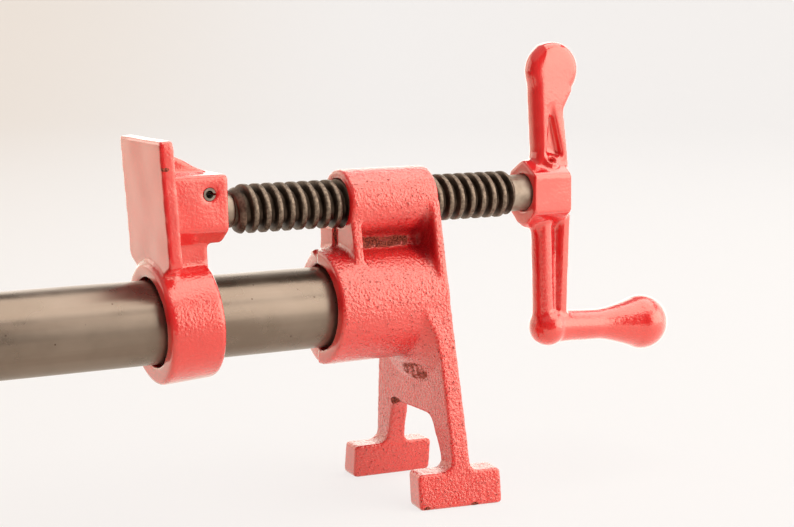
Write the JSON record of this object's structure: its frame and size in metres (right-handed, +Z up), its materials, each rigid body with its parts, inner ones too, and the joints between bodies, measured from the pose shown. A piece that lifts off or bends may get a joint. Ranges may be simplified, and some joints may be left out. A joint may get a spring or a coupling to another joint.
{
  "type": "pipe clamp",
  "caption": "Woodworking pipe clamp: a screw-driven jaw and a sliding tail stop with a tilting-plate clutch, on one steel pipe, with cast feet and a crank.",
  "frame": {"origin": "on the bench, below the middle of the whole clamp at rest", "axes": "+X along the pipe towards the crank, +Y across the pipe, +Z up"},
  "size_m": [0.4082, 0.0578, 0.1526],
  "materials": {
    "red_casting": "glossy paint over a rough sand casting",
    "pipe_steel": "black mill scale, satin",
    "screw_steel": "black oxide, oiled",
    "pin_steel": "satin",
    "plate_steel": "hardened and oiled",
    "spring_steel": "satin"
  },
  "bodies": {
    "head": {"head_casting": "red_casting", "pipe": "pipe_steel"},
    "jaw": {"jaw_casting": "red_casting", "jaw_roll_pin": "pin_steel"},
    "spindle": {"screw": "screw_steel", "crank_handle": "red_casting", "handle_roll_pin": "pin_steel"},
    "tail_stop": {"tail_casting": "red_casting", "clutch_spring": "spring_steel"},
    "plate_front": {"clutch_plate_front": "plate_steel"},
    "plate_middle": {"clutch_plate_middle": "plate_steel"},
    "plate_rear": {"clutch_plate_rear": "plate_steel"}
  },
  "joints": [
    {"name": "jaw_slide", "type": "slide", "parent": "head", "child": "jaw", "axis": [-1, 0, 0], "range_m": [-0.0386, 0.0361]},
    {"name": "spindle_turn", "type": "hinge", "parent": "jaw", "child": "spindle", "pos_m": [0.1012, 0, 0.10041], "axis": [-1, 0, 0], "range_deg": [-3270, 3060]},
    {"name": "tail_slide", "type": "slide", "parent": "head", "child": "tail_stop", "axis": [1, 0, 0], "range_m": [-0.06, 0.048]},
    {"name": "clutch_release", "type": "hinge", "parent": "tail_stop", "child": "plate_front", "pos_m": [-0.10562, 0, 0.08855], "axis": [0, 1, 0], "range_deg": [0, 8], "stiffness_Nm_per_rad": 0.8, "springref_deg": -17.19, "deforming": ["clutch_spring"]},
    {"name": "clutch_release_middle", "type": "hinge", "parent": "tail_stop", "child": "plate_middle", "pos_m": [-0.10892, 0, 0.08855], "axis": [0, 1, 0], "range_deg": [0, 8]},
    {"name": "clutch_release_rear", "type": "hinge", "parent": "tail_stop", "child": "plate_rear", "pos_m": [-0.11222, 0, 0.08855], "axis": [0, 1, 0], "range_deg": [0, 8]}
  ],
  "couplings": [
    {"joint": "jaw_slide", "follows": "spindle_turn", "m_per_rad": 0.00067375},
    {"joint": "clutch_release_middle", "follows": "clutch_release", "ratio": 1},
    {"joint": "clutch_release_rear", "follows": "clutch_release", "ratio": 1}
  ]
}
